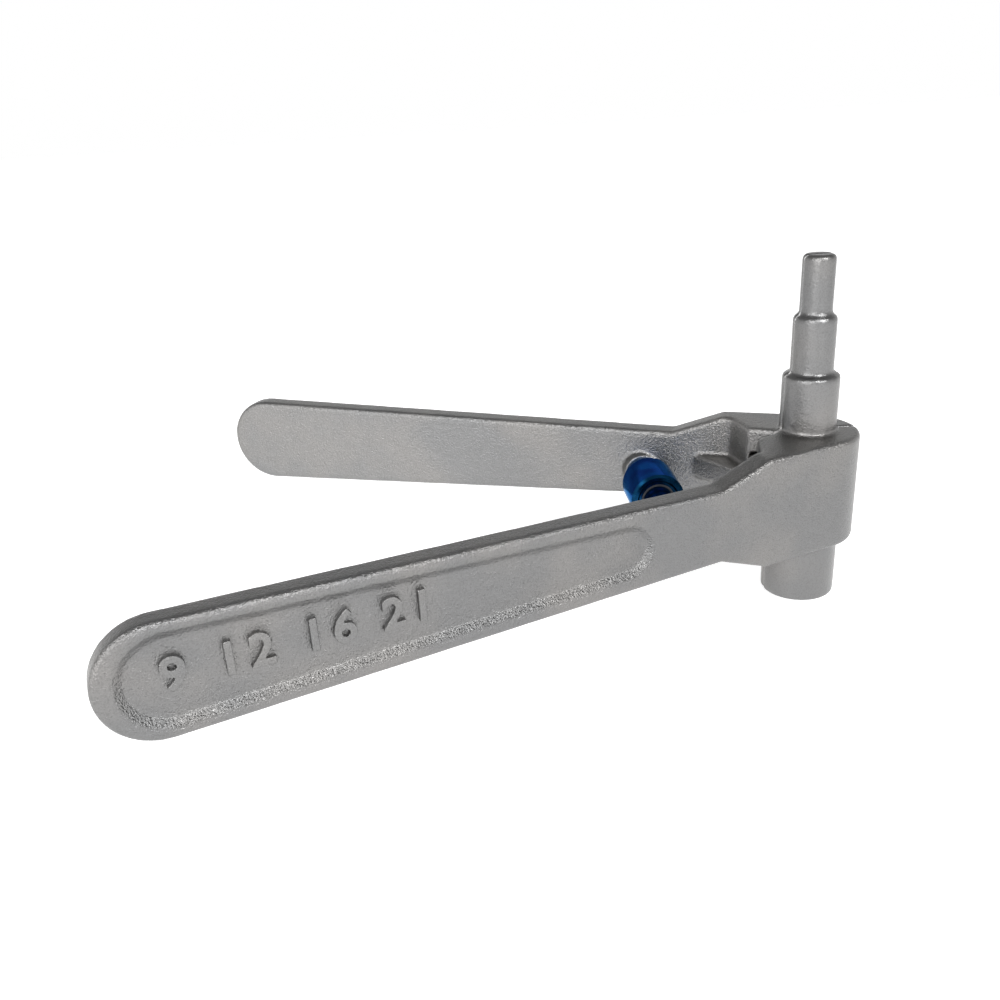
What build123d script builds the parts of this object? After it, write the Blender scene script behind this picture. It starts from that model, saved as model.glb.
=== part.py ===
"""Flaring tool for thin corrugated tube: two cast handles with a split, stepped mandrel.

Millimetres. +Z is up along the mandrel, and the handles spread towards -X. The origin is
on the mandrel's axis at the top of its root fillet, where a tube on the widest step stops. The
rest pose is the tool let go: the spring holds the handles apart and the mandrel closed.
"""

from build123d import *

import os
from math import asin, cos, radians, sin

# Mandrel: three steps above the head and one barrel below it
barrel_diameter = 21.4
barrel_length = 18.8
barrel_rim_radius = 0.5
step_diameters = (16.0, 12.0, 9.0)
step_lengths = (17.0, 16.5, 16.5)
rim_radius = 1.2
foot_radius = 0.8
foot_land = 0.5
split_gap = 0.1

# Head and handles
head_height = 32.4
head_radius = 14.6
spread_half_angle = 21.6
handle_reach = 200.4
handle_end_radius = 14.4
neck_half_height = 10.6
neck_start = 25.0
neck_end = 40.3
bar_root_thickness = 7.7
bar_end_thickness = 6.8
edge_radius = 1.3

# Jaw relief that lets the handles close
relief_start = 8.2
relief_angle = 29.0
relief_reach = 9.0
relief_corner_radius = 1.8
neck_corner_radius = 3.0
neck_corner_inset = 2.6

# Recessed panel on each handle's outer face
panel_start = 62.3
panel_start_radius = 7.8
panel_end_margin = 4.4
panel_rail = 2.4
panel_depth = 1.5
panel_wall_angle = 55.0

# Hinge, by height from the head's middle
pivot_offset = 11.5
pin_diameter = 5.0
pin_clearance = 0.03
bush_wall = 1.0
knuckle_wall = 2.8
knuckle_clearance = 0.5
slot_clearance = 1.6
tongue_thickness = 8.0
tongue_heel = 33.0
tongue_heel_radius = 1.5
tongue_edge_radius = 1.4
cheek_thickness = 3.6
washer_thickness = 0.5
washer_clearance = 0.05
washer_rim = 0.3
pin_roof = 0.9
pin_tail = 1.6
clip_thickness = 0.7
clip_rim = 1.7
clip_groove_depth = 0.4
clip_clearance = 0.05
access_clearance = 0.6
access_run_out = 3.2

# Return spring unit between the handles, by distance from the middle plane
unit_offset = 43.9
unit_drop = 2.2
cup_wall = 1.7
cup_mouth = -1.5
cup_shoulder = 13.5
cup_root = 22.5
cup_root_step = 0.8
cup_rim_chamfer = 0.7
spigot_diameter = 8.4
spigot_length = 4.2
spigot_clearance = 0.1
boss_margin = 0.4
boss_depth = 5.4
gland_step = 0.8
gland_length = 3.0
gland_sink = 0.4
gland_chamfer = 0.5
wiper_length = 1.2
wiper_wall = 0.6
plunger_diameter = 8.6
plunger_shoulder = 1.1
sliding_clearance = 0.08
plunger_wall = 1.2
plunger_flange = 1.6
plunger_gap = 0.2
plunger_travel = 13.6
travel_spare = 0.4
plunger_bore_end = 12.0
nose_clearance = 0.45
seat_margin = 2.2
seat_depth = 2.0
seat_stand = 0.4
seat_chamfer = 0.3
seat_along = 45.5
spring_wire = 0.9
spring_play = 0.25
spring_turns = 9

spread = radians(spread_half_angle)
head_high = -foot_radius
head_low = head_high - head_height
head_middle = head_high - head_height / 2
barrel_end = head_low - barrel_length
barrel_radius = barrel_diameter / 2
foot_circle = step_diameters[0] / 2
land_radius = foot_circle + foot_radius + foot_land
inner_root = head_radius - bar_root_thickness
inner_end = head_radius - bar_end_thickness
end_centre = handle_reach - handle_end_radius
panel_end = handle_reach - panel_end_margin
panel_end_radius = handle_end_radius - panel_rail

tongue_half = tongue_thickness / 2
cheek_low = tongue_half + washer_thickness + 2 * washer_clearance
cheek_high = cheek_low + cheek_thickness
pin_radius = pin_diameter / 2
knuckle_radius = pin_radius + knuckle_wall
pin_top = head_middle + cheek_high - pin_roof
pin_foot = head_middle - cheek_high - pin_tail
clip_groove_radius = pin_radius - clip_groove_depth
clip_top = head_middle - cheek_high - clip_clearance
bush_radius = pin_radius + pin_clearance + bush_wall
access_radius = pin_radius + access_clearance
access_low = head_low - access_run_out
pocket_radius = knuckle_radius + knuckle_clearance
pocket_foot = pin_foot - knuckle_clearance
slot_radius = knuckle_radius + slot_clearance
clip_radius = pin_radius + clip_rim
pivot = (-pivot_offset, 0)

plunger_radius = plunger_diameter / 2
bore_radius = plunger_radius + plunger_shoulder
gland_radius = bore_radius + gland_step
cup_radius = gland_radius + cup_wall
spigot_radius = spigot_diameter / 2
root_radius = spigot_radius + cup_root_step
boss_radius = root_radius + boss_margin
seat_radius = plunger_radius + seat_margin
flange_radius = bore_radius - sliding_clearance
gland_front = cup_mouth + gland_sink
gland_back = gland_front + gland_length
spigot_end = cup_root + spigot_length
plunger_back = gland_back + plunger_gap + plunger_flange
bore_end = plunger_back + plunger_travel + travel_spare
plunger_bore_radius = plunger_radius - plunger_wall
seat_face = inner_root - seat_stand
seat_reach = seat_face - plunger_radius - nose_clearance + unit_offset * sin(spread)
nose_centre = -seat_reach / cos(spread)


def plan(along, outward):
    """Places a point of the near handle, along it and outward from the mandrel axis."""
    x = -along * cos(spread) + outward * sin(spread)
    y = -along * sin(spread) - outward * cos(spread)
    return (x, y)


def tangent_point(start, start_radius, end, end_radius):
    """Finds where the common tangent of two circles touches the second one."""
    lean = asin((end_radius - start_radius) / (end - start))
    return (end - end_radius * sin(lean), end_radius * cos(lean))


def level(height):
    """A horizontal plane at a height above the head's middle."""
    return Plane.XY.offset(head_middle + height)


# The near handle's own plane: x runs along the handle and z points outward.
handle_plane = Plane(
    origin=(0, 0, head_middle),
    x_dir=(-cos(spread), -sin(spread), 0),
    z_dir=(sin(spread), -cos(spread), 0),
)
# The spring unit's plane: z points from the middle plane into the far handle.
unit_plane = Plane(
    origin=(-unit_offset, 0, head_middle - unit_drop), x_dir=(1, 0, 0), z_dir=(0, 1, 0)
)
relief_tip = (
    -relief_start - relief_reach * cos(radians(relief_angle)),
    -relief_reach * sin(radians(relief_angle)),
)
neck_point = plan(neck_start - neck_corner_inset, inner_root)
end_tangent = tangent_point(neck_end, neck_half_height, end_centre, handle_end_radius)
far_heel = plan(tongue_heel, inner_root + tongue_heel_radius)
far_web = plan(knuckle_radius, inner_root)

# Handle blank: its plan outline crossed with its side outline
with BuildPart() as blank:
    with BuildSketch(level(0)):
        with BuildLine():
            Polyline(
                plan(0, head_radius),
                plan(handle_reach, head_radius),
                plan(handle_reach, inner_end),
                neck_point,
                relief_tip,
                (-relief_start, 0),
                (head_radius, 0),
            )
            CenterArc((0, 0), head_radius, 0, spread_half_angle - 90)
        make_face()
    extrude(amount=head_height, both=True)
    with BuildSketch(handle_plane):
        with BuildLine():
            Polyline(
                (-head_radius, head_height / 2),
                (neck_start, head_height / 2),
                (neck_end, neck_half_height),
                end_tangent,
                (end_tangent[0], -end_tangent[1]),
                (neck_end, -neck_half_height),
                (neck_start, -head_height / 2),
                (-head_radius, -head_height / 2),
                close=True,
            )
        make_face()
        with Locations((end_centre, 0)):
            Circle(handle_end_radius)
    extrude(amount=2 * head_radius, both=True, mode=Mode.INTERSECT)
    corners = blank.edges().filter_by(Axis.Z)
    fillet(corners.sort_by_distance((*relief_tip, head_middle))[0], relief_corner_radius)
    corners = blank.edges().filter_by(Axis.Z)
    fillet(corners.sort_by_distance((*neck_point, head_middle))[0], neck_corner_radius)
    rims = blank.edges().filter_by(Axis.Z, reverse=True)
    rims = rims.filter_by(Axis((0, 0, 0), handle_plane.z_dir), reverse=True)
    fillet([rim for rim in rims if rim.center().Y < -split_gap], edge_radius)

# Half mandrel and half barrel, turned about the tool's axis
with BuildPart() as mandrel:
    with BuildSketch(Plane.XZ):
        with BuildLine():
            corners = [(barrel_radius, barrel_end), (barrel_radius, head_middle)]
            corners += [(land_radius, head_middle), (land_radius, head_high)]
            foot = head_high
            for diameter, length in zip(step_diameters, step_lengths):
                corners += [(diameter / 2, foot)]
                foot += length
                corners += [(diameter / 2, foot)]
            Polyline((0, barrel_end), *corners, (0, foot), close=True)
        make_face()
        fillet(vertices().sort_by_distance(corners[0])[0], barrel_rim_radius)
        for corner in corners[5::2]:
            fillet(vertices().sort_by_distance(corner)[0], rim_radius)
    revolve(axis=Axis.Z, revolution_arc=-180)

# What both castings share: the blank, the mandrel half, the panel and the pin's access
panel_near = panel_start + panel_start_radius
panel_far = panel_end - panel_end_radius
with BuildPart() as casting:
    add(blank.part)
    add(mandrel.part)
    root = casting.edges().sort_by_distance((0, -foot_circle, head_high))[0]
    fillet(root, foot_radius)
    with BuildSketch(handle_plane.offset(head_radius)):
        with Locations((panel_near, 0)):
            Circle(panel_start_radius)
        with Locations((panel_far, 0)):
            Circle(panel_end_radius)
        make_hull()
    extrude(amount=-panel_depth, taper=panel_wall_angle, mode=Mode.SUBTRACT)
    with BuildSketch(Plane.XY.offset(barrel_end)):
        Rectangle(4 * head_radius, split_gap)
    extrude(amount=foot - barrel_end, mode=Mode.SUBTRACT)
    with BuildSketch(Plane.XY.offset(access_low)):
        with Locations(pivot):
            Circle(access_radius)
    extrude(amount=pocket_foot - access_low, mode=Mode.SUBTRACT)

with BuildPart() as near_handle:
    add(casting.part)
    with BuildSketch(level(-cheek_low)):
        with Locations(pivot):
            Circle(slot_radius)
    extrude(amount=2 * cheek_low, mode=Mode.SUBTRACT)
    with BuildSketch(Plane.XY.offset(pocket_foot)):
        with Locations(pivot):
            Circle(clip_radius + knuckle_clearance)
    extrude(amount=head_middle - cheek_high - pocket_foot, mode=Mode.SUBTRACT)
    with BuildSketch(level(cheek_low), level(-cheek_high)):
        with Locations(pivot):
            Circle(knuckle_radius)
    extrude(amount=cheek_thickness)
    with BuildSketch(Plane.XY.offset(pin_foot)):
        with Locations(pivot):
            Circle(pin_radius)
    extrude(amount=pin_top - pin_foot, mode=Mode.SUBTRACT)
    with BuildSketch(handle_plane.offset(seat_face)):
        with Locations((seat_along, unit_drop)):
            Circle(seat_radius)
    extrude(amount=seat_depth, mode=Mode.SUBTRACT)

# The far handle's hinge tongue, with rounded rims
with BuildPart() as tongue:
    with BuildSketch(level(-tongue_half)):
        with Locations(pivot):
            Circle(knuckle_radius)
        with Locations((far_heel[0], -far_heel[1]), (far_web[0], -far_web[1])):
            Circle(tongue_heel_radius)
        make_hull()
    extrude(amount=tongue_thickness)
    fillet(edges().filter_by(Axis.Z, reverse=True), tongue_edge_radius)

with BuildPart() as far_handle:
    add(mirror(casting.part, about=Plane.XZ))
    with BuildSketch(level(tongue_half)):
        with Locations(pivot):
            Circle(pocket_radius)
    extrude(amount=cheek_high + knuckle_clearance - tongue_half, mode=Mode.SUBTRACT)
    with BuildSketch(Plane.XY.offset(pocket_foot)):
        with Locations(pivot):
            Circle(pocket_radius)
    extrude(amount=head_middle - tongue_half - pocket_foot, mode=Mode.SUBTRACT)
    add(tongue.part)
    with BuildSketch(level(-tongue_half)):
        with Locations(pivot):
            Circle(bush_radius)
    extrude(amount=tongue_thickness, mode=Mode.SUBTRACT)
    with BuildSketch(unit_plane.offset(cup_root)):
        Circle(boss_radius)
    extrude(amount=boss_depth)
    with BuildSketch(unit_plane.offset(cup_root)):
        Circle(boss_radius)
    extrude(amount=-boss_depth, mode=Mode.SUBTRACT)
    with BuildSketch(unit_plane.offset(cup_root)):
        Circle(spigot_radius)
    extrude(amount=spigot_length + spigot_clearance, mode=Mode.SUBTRACT)

with BuildPart() as pivot_pin:
    with BuildSketch(Plane.XY.offset(pin_foot)):
        with Locations(pivot):
            Circle(pin_radius)
    extrude(amount=pin_top - pin_foot)
    chamfer(edges().filter_by(GeomType.CIRCLE), clip_groove_depth)
    groove_width = clip_thickness + 2 * clip_clearance
    with BuildSketch(Plane.XY.offset(clip_top - clip_thickness - clip_clearance)):
        with Locations(pivot):
            Circle(pin_radius)
            Circle(clip_groove_radius, mode=Mode.SUBTRACT)
    extrude(amount=groove_width, mode=Mode.SUBTRACT)

with BuildPart() as pin_clip:
    with BuildSketch(Plane.XY.offset(clip_top - clip_thickness)):
        with Locations(pivot):
            Circle(clip_radius)
            Circle(clip_groove_radius + clip_clearance, mode=Mode.SUBTRACT)
        with Locations((pivot[0] - clip_radius, 0)):
            Rectangle(2 * clip_radius, pin_radius, mode=Mode.SUBTRACT)
    extrude(amount=clip_thickness)

with BuildPart() as tongue_bush:
    with BuildSketch(level(-tongue_half)):
        with Locations(pivot):
            Circle(bush_radius)
            Circle(pin_radius + pin_clearance, mode=Mode.SUBTRACT)
    extrude(amount=tongue_thickness)

washer_low = tongue_half + washer_clearance
with BuildPart() as thrust_washers:
    with BuildSketch(level(washer_low), level(-washer_low - washer_thickness)):
        with Locations(pivot):
            Circle(knuckle_radius - washer_rim)
            Circle(pin_radius + washer_clearance, mode=Mode.SUBTRACT)
    extrude(amount=washer_thickness)

with BuildPart() as spring_cup:
    with BuildSketch(unit_plane.offset(cup_mouth)):
        Circle(cup_radius)
    extrude(amount=cup_shoulder - cup_mouth)
    chamfer(edges().group_by(Axis.Y)[0], cup_rim_chamfer)
    with BuildSketch(unit_plane.offset(cup_shoulder)):
        Circle(cup_radius)
    with BuildSketch(unit_plane.offset(cup_root)):
        Circle(root_radius)
    loft()
    with BuildSketch(unit_plane.offset(cup_root)):
        Circle(spigot_radius)
    extrude(amount=spigot_length)
    with BuildSketch(unit_plane.offset(cup_mouth)):
        Circle(gland_radius)
    extrude(amount=gland_back - cup_mouth, mode=Mode.SUBTRACT)
    with BuildSketch(unit_plane.offset(gland_back)):
        Circle(bore_radius)
    extrude(amount=bore_end - gland_back, mode=Mode.SUBTRACT)

rod_hole = plunger_radius + sliding_clearance
with BuildPart() as cup_gland:
    with BuildSketch(unit_plane.offset(gland_front)):
        Circle(gland_radius)
    extrude(amount=gland_length)
    chamfer(edges().group_by(Axis.Y)[0], gland_chamfer)
    with BuildSketch(unit_plane.offset(gland_front)):
        Circle(rod_hole)
    extrude(amount=gland_length, mode=Mode.SUBTRACT)
    with BuildSketch(unit_plane.offset(gland_front)):
        Circle(rod_hole + wiper_wall)
    extrude(amount=wiper_length, mode=Mode.SUBTRACT)

with BuildPart() as plunger_wiper:
    with BuildSketch(unit_plane.offset(gland_front)):
        Circle(rod_hole + wiper_wall)
        Circle(rod_hole, mode=Mode.SUBTRACT)
    extrude(amount=wiper_length)

with BuildPart() as spring_plunger:
    with BuildSketch(unit_plane.offset(nose_centre)):
        Circle(plunger_radius)
    extrude(amount=plunger_back - nose_centre)
    with BuildSketch(unit_plane.offset(plunger_back - plunger_flange)):
        Circle(flange_radius)
    extrude(amount=plunger_flange)
    with Locations(unit_plane.offset(nose_centre).location):
        Sphere(plunger_radius)
    with BuildSketch(unit_plane.offset(-plunger_bore_end)):
        Circle(plunger_bore_radius)
    extrude(amount=plunger_bore_end + plunger_back, mode=Mode.SUBTRACT)

spring_radius = plunger_bore_radius - spring_play - spring_wire / 2
spring_start = -plunger_bore_end + spring_wire / 2 + clip_clearance
spring_height = bore_end - spring_start - spring_wire / 2 - clip_clearance
with BuildPart() as return_spring:
    with BuildLine() as coil:
        Helix(
            pitch=spring_height / spring_turns,
            height=spring_height,
            radius=spring_radius,
            center=unit_plane.offset(spring_start).origin,
            direction=unit_plane.z_dir,
        )
    with BuildSketch(Plane(coil.line @ 0, z_dir=coil.line % 0)):
        Circle(spring_wire / 2)
    sweep(path=coil.line, is_frenet=True)

with BuildPart() as plunger_seat:
    with BuildSketch(handle_plane.offset(seat_face)):
        with Locations((seat_along, unit_drop)):
            Circle(seat_radius)
    extrude(amount=seat_depth)
    rim = Axis(plunger_seat.part.center(), handle_plane.z_dir)
    chamfer(edges().filter_by(GeomType.CIRCLE).sort_by(rim)[0], seat_chamfer)

pieces = {
    "near_handle": near_handle,
    "far_handle": far_handle,
    "pivot_pin": pivot_pin,
    "pin_clip": pin_clip,
    "tongue_bush": tongue_bush,
    "thrust_washers": thrust_washers,
    "spring_cup": spring_cup,
    "cup_gland": cup_gland,
    "plunger_wiper": plunger_wiper,
    "spring_plunger": spring_plunger,
    "return_spring": return_spring,
    "plunger_seat": plunger_seat,
}
os.makedirs("parts", exist_ok=True)
for name, piece in pieces.items():
    piece.part.label = name
    export_step(piece.part, f"parts/{name}.step")
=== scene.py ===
import math

import bmesh
import bpy
from mathutils import Matrix, Vector


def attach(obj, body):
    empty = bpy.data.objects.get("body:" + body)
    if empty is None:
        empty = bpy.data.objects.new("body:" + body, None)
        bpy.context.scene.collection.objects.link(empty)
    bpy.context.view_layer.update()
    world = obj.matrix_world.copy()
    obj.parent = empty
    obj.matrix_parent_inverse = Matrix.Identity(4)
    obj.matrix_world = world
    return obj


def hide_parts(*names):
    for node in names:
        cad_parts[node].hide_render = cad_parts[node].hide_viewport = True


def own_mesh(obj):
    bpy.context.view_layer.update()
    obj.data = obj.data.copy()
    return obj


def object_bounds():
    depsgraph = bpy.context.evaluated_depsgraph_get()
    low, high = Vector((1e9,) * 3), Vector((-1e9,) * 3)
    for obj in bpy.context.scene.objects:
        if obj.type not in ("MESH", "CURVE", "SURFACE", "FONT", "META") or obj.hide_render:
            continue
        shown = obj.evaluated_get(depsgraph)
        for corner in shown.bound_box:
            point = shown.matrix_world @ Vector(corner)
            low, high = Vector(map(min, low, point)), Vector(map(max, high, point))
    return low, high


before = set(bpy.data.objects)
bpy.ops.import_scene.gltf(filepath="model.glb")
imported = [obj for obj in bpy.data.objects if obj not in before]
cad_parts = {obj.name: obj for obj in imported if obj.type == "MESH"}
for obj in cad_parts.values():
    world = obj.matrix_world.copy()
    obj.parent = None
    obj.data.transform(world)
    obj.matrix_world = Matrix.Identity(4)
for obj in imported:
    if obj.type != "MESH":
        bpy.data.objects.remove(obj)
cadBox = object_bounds()
print("tool frame loaded:", len(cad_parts), "nodes")


class Wire:  # a socket that takes part in plain arithmetic

    def __init__(self, finish, socket):
        self.finish = finish
        self.socket = socket

    def calc(self, operation, first, second):
        return self.finish.add("ShaderNodeMath", {"operation": operation}, {0: first, 1: second})

    def __add__(self, other):
        return self.calc("ADD", self, other)

    def __radd__(self, other):
        return self.calc("ADD", other, self)

    def __sub__(self, other):
        return self.calc("SUBTRACT", self, other)

    def __rsub__(self, other):
        return self.calc("SUBTRACT", other, self)

    def __mul__(self, other):
        return self.calc("MULTIPLY", self, other)

    def __rmul__(self, other):
        return self.calc("MULTIPLY", other, self)

    def power(self, other):
        return self.calc("POWER", self, other)


class Finish:  # one material and its nodes

    def __init__(self, name, tree=None):
        self.material = None
        if tree is None:
            self.material = bpy.data.materials.new(name)
            self.material.use_nodes = True
            tree = self.material.node_tree
        self.tree = tree
        self.tree.nodes.clear()
        self.place = self.add("ShaderNodeTexCoord", out="Object")

    def add(self, kind, settings=None, values=None, out=0):
        node = self.tree.nodes.new(kind)
        for name, value in (settings or {}).items():
            setattr(node, name, value)
        for name, value in (values or {}).items():
            if isinstance(value, Wire):
                self.tree.links.new(value.socket, node.inputs[name])
            else:
                node.inputs[name].default_value = value
        return Wire(self, node.outputs[out]) if len(node.outputs) else node

    def grain(self, scale, detail=3.0, rough=0.5, place=None):
        values = {"Vector": place or self.place, "Scale": scale, "Detail": detail, "Roughness": rough}
        return self.add("ShaderNodeTexNoise", {}, values)

    def cells(self, scale):
        values = {"Vector": self.place, "Scale": scale}
        return self.add("ShaderNodeTexVoronoi", {"feature": "SMOOTH_F1"}, values)

    def mix(self, share, first, second):
        settings = {"data_type": "RGBA"}
        return self.add("ShaderNodeMix", settings, {0: share, 6: first, 7: second}, out=2)

    def ease(self, value, low, high):  # 0 below low, 1 above high
        settings = {"interpolation_type": "SMOOTHSTEP"}
        values = {"Value": value, "From Min": low, "From Max": high}
        return self.add("ShaderNodeMapRange", settings, values)

    def clip(self, value):  # held between 0 and 1
        return self.add("ShaderNodeClamp", {}, {"Value": value})

    def turned(self, sizes, turn=(0, 0, 0)):
        values = {"Vector": self.place, "Rotation": turn, "Scale": sizes}
        return self.add("ShaderNodeMapping", {}, values)

    def along(self, direction):  # distance along a direction, in metres
        return self.add("ShaderNodeVectorMath", {"operation": "DOT_PRODUCT"},
                        {0: self.place, 1: direction}, out="Value")

    def bump(self, height, distance, strength=1.0):
        return self.add("ShaderNodeBump", {}, {"Height": height, "Distance": distance, "Strength": strength})

    def done(self, values):
        shader = self.add("ShaderNodeBsdfPrincipled", {}, values)
        self.add("ShaderNodeOutputMaterial", {}, {"Surface": shader})
        return self.material


def grey(level, warm=0.0):
    return (level * (1 + warm), level, level * (1 - warm), 1.0)


spread = math.radians(21.6)
lie = {  # how the two handles run
    "nearOut": Vector((math.sin(spread), -math.cos(spread), 0)),
    "nearAlong": Vector((-math.cos(spread), -math.sin(spread), 0)),
    "farOut": Vector((math.sin(spread), math.cos(spread), 0)),
    "farAlong": Vector((-math.cos(spread), math.sin(spread), 0)),
    "middle": -0.017,  # height of the handles' centre line
}

steelLook = {  # sizes per metre, depths in mm, lengths in metres
    # the far half's base grey is painted lighter than the near half's, though both are one cast steel:
    # painted light for the light on the far half's inner face
    "nearBase": 0.20, "farLitBase": 0.245, "rough": 0.35,
    "patchSize": 38, "patchRange": (0.35, 0.68), "patch": 0.014, "coolTint": -0.003, "warmTint": 0.025,
    "pitRange": (0.45, 0.65), "pitShare": 0.35, "pitShade": 0.6, "pitTint": 0.02,
    "patchRough": 0.14, "peelRough": 0.16,
    "peelSize": 1300, "peelDepth": 0.22, "blastSize": 2600, "blastDepth": 0.15,
    "waveSize": 240, "waveDepth": 0.10, "streakSize": 700, "streakStretch": 0.06, "streakDepth": 0.07,
    "turnedShare": 0.35, "headHalf": (0.0163, 0.0170),  # the mandrel and barrel start past the head
    "pebbleSize": 2500, "pebbleDepth": 0.30, "upperShare": 0.25, "upperRange": (0.0, 0.006),
}

panelShape = {  # run along the handle and radius at both ends, in metres
    "start": (0.0701, 0.0078), "end": (0.1840, 0.0120), "wall": 0.0022,
    "outerEdge": (-0.0004, 0.0001), "innerEdge": (-0.0002, 0.0004), "face": (0.010, 0.012),
}


def panelWall(steel, run, rise):  # 1 on the sloped wall round the grip's panel
    first, firstRadius = panelShape["start"]
    last, lastRadius = panelShape["end"]
    share = steel.clip((run - first) * (1 / (last - first)))
    beside = run - (share * (last - first) + first)
    reach = (beside * beside + rise * rise).power(0.5) - (share * (lastRadius - firstRadius) + firstRadius)
    inner = [edge - panelShape["wall"] for edge in panelShape["innerEdge"]]
    inside = 1 - steel.ease(reach, *panelShape["outerEdge"])
    outside = steel.ease(reach, *inner)
    lower = 1 - steel.ease(rise, *steelLook["upperRange"]) * (1 - steelLook["upperShare"])
    return inside * outside * lower


def turnedPart(steel, rise):  # 1 on the mandrel and the barrel
    low, high = steelLook["headHalf"]
    return steel.ease(rise, low, high) + (1 - steel.ease(rise, -high, -low))


def castSteel(name, outward, handleAlong, shade):
    look = steelLook
    steel = Finish(name)
    out = steel.along(outward)
    run = steel.along(handleAlong)
    rise = steel.along((0, 0, 1)) - lie["middle"]
    patches = steel.grain(look["patchSize"], 2.0, 0.55)
    peel = steel.grain(look["peelSize"], 2.0, 0.5)
    blast = steel.grain(look["blastSize"], 2.0, 0.6)
    wave = steel.grain(look["waveSize"], 3.0, 0.5)
    pebble = steel.cells(look["pebbleSize"])
    across = math.atan2(handleAlong.y, handleAlong.x)
    lengthwise = steel.turned((look["streakStretch"], 1, 1), (0, 0, -across))
    streak = steel.grain(look["streakSize"], 2.0, 0.5, lengthwise)
    wall = panelWall(steel, run, rise) * steel.ease(out, *panelShape["face"])
    cool = grey(shade - look["patch"], look["coolTint"])
    warm = grey(shade + look["patch"], look["warmTint"])
    base = steel.mix(steel.ease(patches, *look["patchRange"]), cool, warm)
    pits = steel.ease(blast, *look["pitRange"]) * look["pitShare"]
    base = steel.mix(pits, base, grey(shade * look["pitShade"], look["pitTint"]))
    rough = look["rough"] + (patches - 0.5) * look["patchRough"] + (peel - 0.5) * look["peelRough"]
    castShare = 1 - turnedPart(steel, rise) * (1 - look["turnedShare"])
    height = (peel * look["peelDepth"] + blast * look["blastDepth"]) * castShare
    height = height + wave * look["waveDepth"]
    height = height + streak * look["streakDepth"] + pebble * wall * look["pebbleDepth"]
    skin = steel.bump(height, 0.001)  # heights come in mm
    return steel.done({"Base Color": base, "Metallic": 1.0, "Roughness": rough, "Normal": skin})


blueLook = {
    "deep": (0.003, 0.028, 0.072, 1), "bright": (0.006, 0.060, 0.145, 1), "edge": (0.15, 0.45, 0.9, 1),
    "rough": 0.15, "cloudSize": 220, "latheSize": 900, "latheDepth": 0.00003,
}


def dimmed(colour, share):
    return tuple(part * share for part in colour[:3]) + (1,)


def blueCoat(name, dim=1.0):
    look = blueLook
    coat = Finish(name)
    cloud = coat.grain(look["cloudSize"], 2.0)
    fine = coat.grain(2200, 2.0)
    deep = dimmed(look["deep"], dim)
    bright = dimmed(look["bright"], dim)
    colour = coat.mix(coat.ease(cloud, 0.3, 0.7), deep, bright)
    lathe = coat.grain(look["latheSize"], 2.0, 0.5, coat.turned((0.02, 1, 0.02)))
    return coat.done({"Base Color": colour, "Metallic": 0.95, "Roughness": look["rough"] + fine * 0.08,
                      "Normal": coat.bump(lathe, look["latheDepth"], 0.4), "Specular Tint": look["edge"]})


def turnedMetal(name, shade, rough, axisSizes):
    metal = Finish(name)
    rings = metal.grain(2400, 2.0, 0.6, metal.turned(axisSizes))
    blotch = metal.grain(300, 2.0)
    colour = metal.mix(metal.ease(blotch, 0.3, 0.75), dimmed(shade, 0.75), shade)
    return metal.done({"Base Color": colour, "Metallic": 1.0, "Roughness": rough + (rings - 0.5) * 0.2,
                       "Normal": metal.bump(rings, 0.00002, 0.6)})


def wiperRubber(name):
    rubber = Finish(name)
    dust = rubber.grain(1500, 3.0)
    colour = rubber.mix(dust, (0.012, 0.012, 0.014, 1), (0.03, 0.03, 0.033, 1))
    return rubber.done({"Base Color": colour, "Roughness": 0.55 + dust * 0.2,
                        "Normal": rubber.bump(dust, 0.00004)})


finishes = {
    "nearSteel": castSteel("nearSteel", lie["nearOut"], lie["nearAlong"], steelLook["nearBase"]),
    # the far half's steel takes the lighter base grey, painted light
    "farSteel": castSteel("farSteel", lie["farOut"], lie["farAlong"], steelLook["farLitBase"]),
    "blueCup": blueCoat("blueCup"),
    "blueGland": blueCoat("blueGland", 0.9),
    # the plunger's blue is the cup's coat dimmed to 0.9: painted shade for the plunger inside the cup's
    # mouth
    "bluePlungerShaded": blueCoat("bluePlungerShaded", 0.9),
    "pinSteel": turnedMetal("pinSteel", grey(0.5), 0.25, (0.03, 0.03, 1)),
    "seatSteel": turnedMetal("seatSteel", grey(0.5), 0.22, (1, 1, 1)),
    "springWire": turnedMetal("springWire", grey(0.28), 0.3, (1, 1, 1)),
    "bushBronze": turnedMetal("bushBronze", (0.55, 0.36, 0.17, 1), 0.3, (0.03, 0.03, 1)),
    "wiperBlack": wiperRubber("wiperBlack"),
}
print("finishes made:", len(finishes))


def place(name, mesh, body, slot, finish):
    piece = bpy.data.objects.new(name, mesh)
    bpy.context.scene.collection.objects.link(piece)
    mesh.materials.clear()
    mesh.materials.append(finishes[finish])
    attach(piece, body)
    return piece


def baked(piece):  # the mesh with its modifiers applied
    bpy.context.view_layer.update()
    graph = bpy.context.evaluated_depsgraph_get()
    mesh = bpy.data.meshes.new_from_object(piece.evaluated_get(graph))
    piece.modifiers.clear()
    old = piece.data
    piece.data = mesh
    bpy.data.meshes.remove(old)
    return piece


def mergedCopy(nodeName):
    shape = bmesh.new()
    shape.from_mesh(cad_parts[nodeName].data)
    bmesh.ops.remove_doubles(shape, verts=shape.verts, dist=2e-6)
    return shape


def skinOver(shape, name, voxel, rounds):
    mesh = bpy.data.meshes.new(name)
    shape.to_mesh(mesh)
    shape.free()
    piece = bpy.data.objects.new(name, mesh)
    bpy.context.scene.collection.objects.link(piece)
    skin = piece.modifiers.new("Skin", "REMESH")
    skin.mode = "VOXEL"
    skin.voxel_size = voxel
    skin.use_smooth_shade = True
    soften = piece.modifiers.new("Soften", "SMOOTH")
    soften.factor = 0.5
    soften.iterations = rounds
    return baked(piece)


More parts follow.
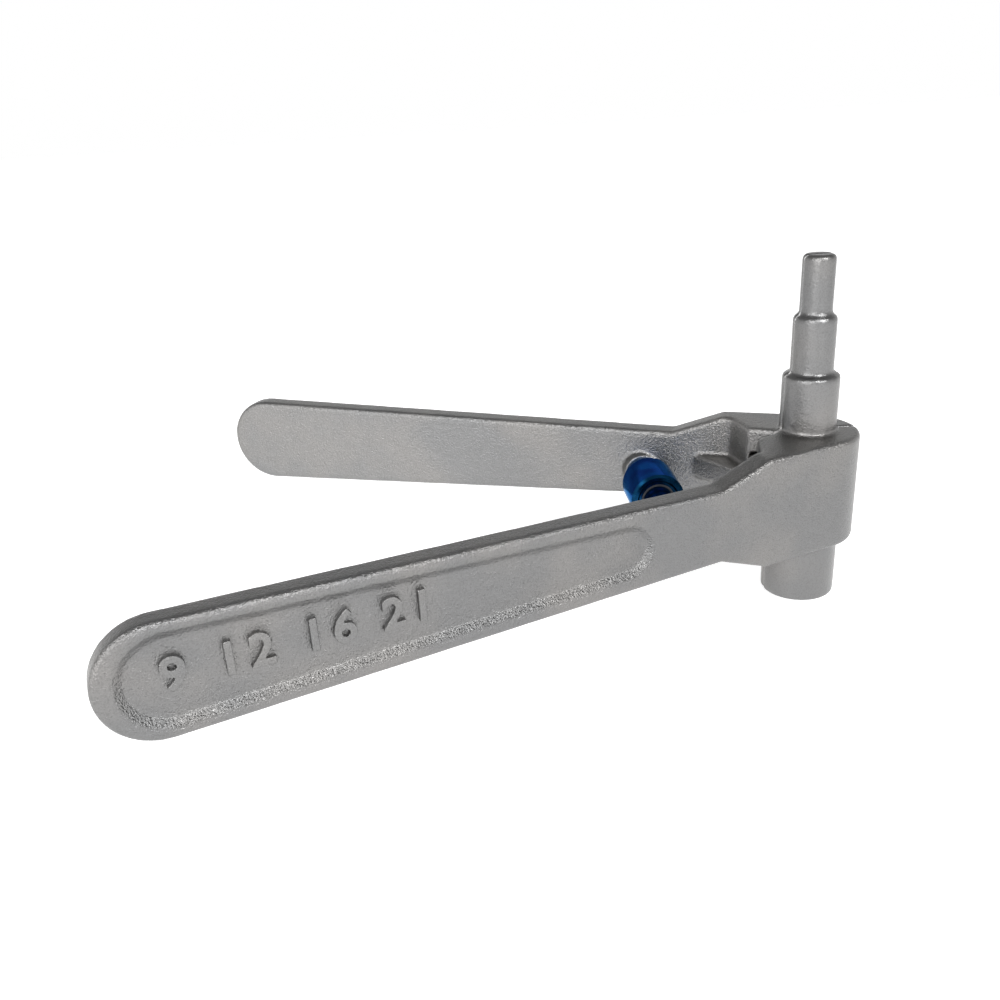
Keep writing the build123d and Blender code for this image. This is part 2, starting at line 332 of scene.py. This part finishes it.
numerals = {  # lengths in metres, left runs along the handle and floor is the recess's
    "text": "9 12 16 21", "size": 0.0114, "gap": 1.25, "left": 0.1862, "drop": 0.0009,
    "floor": 0.0131, "rise": 0.0012, "sink": 0.0004, "thick": 0.00036, "voxel": 0.0002, "rounds": 3,
}


def raisedNumerals():
    n = numerals
    words = bpy.data.curves.new("sizeNumerals", "FONT")
    words.body = n["text"]
    words.size = n["size"]
    words.space_character = n["gap"]
    words.extrude = (n["rise"] + n["sink"]) / 2
    words.offset = n["thick"]
    words.resolution_u = 8
    words.align_y = "CENTER"
    sign = bpy.data.objects.new("sizeNumerals", words)
    bpy.context.scene.collection.objects.link(sign)
    bpy.context.view_layer.update()
    graph = bpy.context.evaluated_depsgraph_get()
    mesh = bpy.data.meshes.new_from_object(sign.evaluated_get(graph))
    bpy.data.objects.remove(sign)
    shape = bmesh.new()
    shape.from_mesh(mesh)
    bpy.data.meshes.remove(mesh)
    bmesh.ops.remove_doubles(shape, verts=shape.verts, dist=1e-6)
    letters = skinOver(shape, "numeralSkin", n["voxel"], n["rounds"])
    middle = n["floor"] + (n["rise"] - n["sink"]) / 2
    spot = lie["nearAlong"] * n["left"] + lie["nearOut"] * middle + Vector((0, 0, lie["middle"] + n["drop"]))
    turn = Matrix((-lie["nearAlong"], (0, 0, 1), lie["nearOut"])).transposed().to_4x4()
    letters.data.transform(Matrix.Translation(spot) @ turn)
    mesh = letters.data
    bpy.data.objects.remove(letters)
    return mesh


castings = {"voxel": 0.00054, "rounds": 6}  # rounds soften the edges as on a casting


def handleCasting(nodeName, name, body, finish, extras):
    piece = skinOver(mergedCopy(nodeName), name, castings["voxel"], castings["rounds"])
    shape = bmesh.new()
    shape.from_mesh(piece.data)
    for extra in extras:
        shape.from_mesh(extra)
    for face in shape.faces:
        face.smooth = True
    bpy.data.objects.remove(piece)
    mesh = bpy.data.meshes.new(name)
    shape.to_mesh(mesh)
    shape.free()
    piece = place(name, mesh, body, "cast_steel", finish)
    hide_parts(nodeName)
    print(name, "faces:", len(mesh.polygons))
    return piece


handleCasting("near_handle", "nearCasting", "near_half", "nearSteel", [raisedNumerals()])
handleCasting("far_handle", "farCasting", "far_half", "farSteel", [])


def machined(nodeName, name, body, slot, finish, corner=35):
    shape = mergedCopy(nodeName)
    for face in shape.faces:
        face.smooth = True
    for edge in shape.edges:
        edge.smooth = len(edge.link_faces) == 2 and edge.calc_face_angle(3.0) < math.radians(corner)
    mesh = bpy.data.meshes.new(name)
    shape.to_mesh(mesh)
    shape.free()
    piece = place(name, mesh, body, slot, finish)
    even = piece.modifiers.new("Even", "WEIGHTED_NORMAL")
    even.keep_sharp = True
    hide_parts(nodeName)
    return piece


machined("spring_cup", "springCup", "far_half", "blue_steel", "blueCup")
machined("cup_gland", "cupGland", "far_half", "blue_steel_dark", "blueGland")
machined("plunger_wiper", "plungerWiper", "far_half", "wiper_rubber", "wiperBlack")
machined("spring_plunger", "springPlunger", "plunger", "blue_steel", "bluePlungerShaded")
machined("plunger_seat", "plungerSeat", "near_half", "ground_steel", "seatSteel")
machined("pivot_pin", "pivotPin", "near_half", "ground_steel", "pinSteel")
machined("pin_clip", "pinClip", "near_half", "spring_steel", "springWire")
machined("tongue_bush", "tongueBush", "far_half", "bronze", "bushBronze")
machined("thrust_washers", "thrustWashers", "near_half", "bronze", "bushBronze")

coil = machined("return_spring", "returnSpring", "far_half", "spring_steel", "springWire", 60)
coil.modifiers.clear()
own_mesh(coil)
print("machined pieces made")

studio = {
    "floorSize": 6.0, "floorGap": 0.0002, "floorShade": 0.86, "floorGlow": 0.68,
    "sky": 0.33, "horizon": 1.0, "dusk": (0.24, 0.52), "lampAim": (-0.04, 0, 0),
    "keyPower": 9.0, "keySize": 0.55, "keyPlace": (0.36, -0.78, 0.66),
    "sidePower": 8.0, "sideSize": 0.9, "sidePlace": (-0.62, -0.80, 0.50),
}


def studioFloor():
    shape = bmesh.new()
    bmesh.ops.create_grid(shape, x_segments=2, y_segments=2, size=studio["floorSize"])
    bmesh.ops.translate(shape, verts=shape.verts, vec=(0, 0, cadBox[0].z - studio["floorGap"]))
    mesh = bpy.data.meshes.new("studioFloor")
    shape.to_mesh(mesh)
    shape.free()
    floor = bpy.data.objects.new("studioFloor", mesh)
    bpy.context.scene.collection.objects.link(floor)
    paper = Finish("floorPaper")
    tooth = paper.grain(900, 3.0)
    shade = studio["floorShade"]
    colour = paper.mix(tooth, grey(shade - 0.01), grey(shade + 0.01))
    mesh.materials.append(paper.done({"Base Color": colour, "Roughness": 0.9, "Emission Color": grey(1.0),
                                      "Emission Strength": studio["floorGlow"]}))


def softSky():
    world = bpy.data.worlds.new("softSky")
    bpy.context.scene.world = world
    world.use_nodes = True
    sky = Finish("softSky", world.node_tree)
    sky.place = sky.add("ShaderNodeTexCoord", out="Generated")
    height = sky.along((0, 0, 1))
    light = sky.mix(sky.ease(height, *studio["dusk"]), grey(studio["horizon"]), grey(studio["sky"]))
    backdrop = sky.add("ShaderNodeBackground", {}, {"Color": light, "Strength": 1.0})
    sky.add("ShaderNodeOutputWorld", {}, {"Surface": backdrop})


def softLamp(name, power, size, spot):
    lamp = bpy.data.lights.new(name, "AREA")
    lamp.shape = "DISK"
    lamp.size = size
    lamp.energy = power
    stand = bpy.data.objects.new(name, lamp)
    bpy.context.scene.collection.objects.link(stand)
    stand.location = spot
    aim = Vector(studio["lampAim"]) - Vector(spot)
    stand.rotation_euler = aim.to_track_quat("-Z", "Y").to_euler()


studioFloor()
softSky()
softLamp("keyLamp", studio["keyPower"], studio["keySize"], studio["keyPlace"])
softLamp("sideLamp", studio["sidePower"], studio["sideSize"], studio["sidePlace"])

camera = {"place": (-0.1012, -0.2542, 0.0914), "turn": 2.379, "tilt": 22.827, "roll": -3.554, "lens": 33.84}
lens = bpy.data.cameras.new("camera")
lens.sensor_width = 36
lens.lens = camera["lens"]
lens.clip_start = 0.01
eye = bpy.data.objects.new("camera", lens)
bpy.context.scene.collection.objects.link(eye)
aim = Matrix.Rotation(math.radians(-camera["turn"]), 4, "Z")
aim = aim @ Matrix.Rotation(math.radians(90 - camera["tilt"]), 4, "X")
aim = aim @ Matrix.Rotation(math.radians(camera["roll"]), 4, "Z")
eye.matrix_world = Matrix.Translation(camera["place"]) @ aim
bpy.context.scene.camera = eye
bpy.context.scene.view_settings.view_transform = "Standard"
print("studio ready")
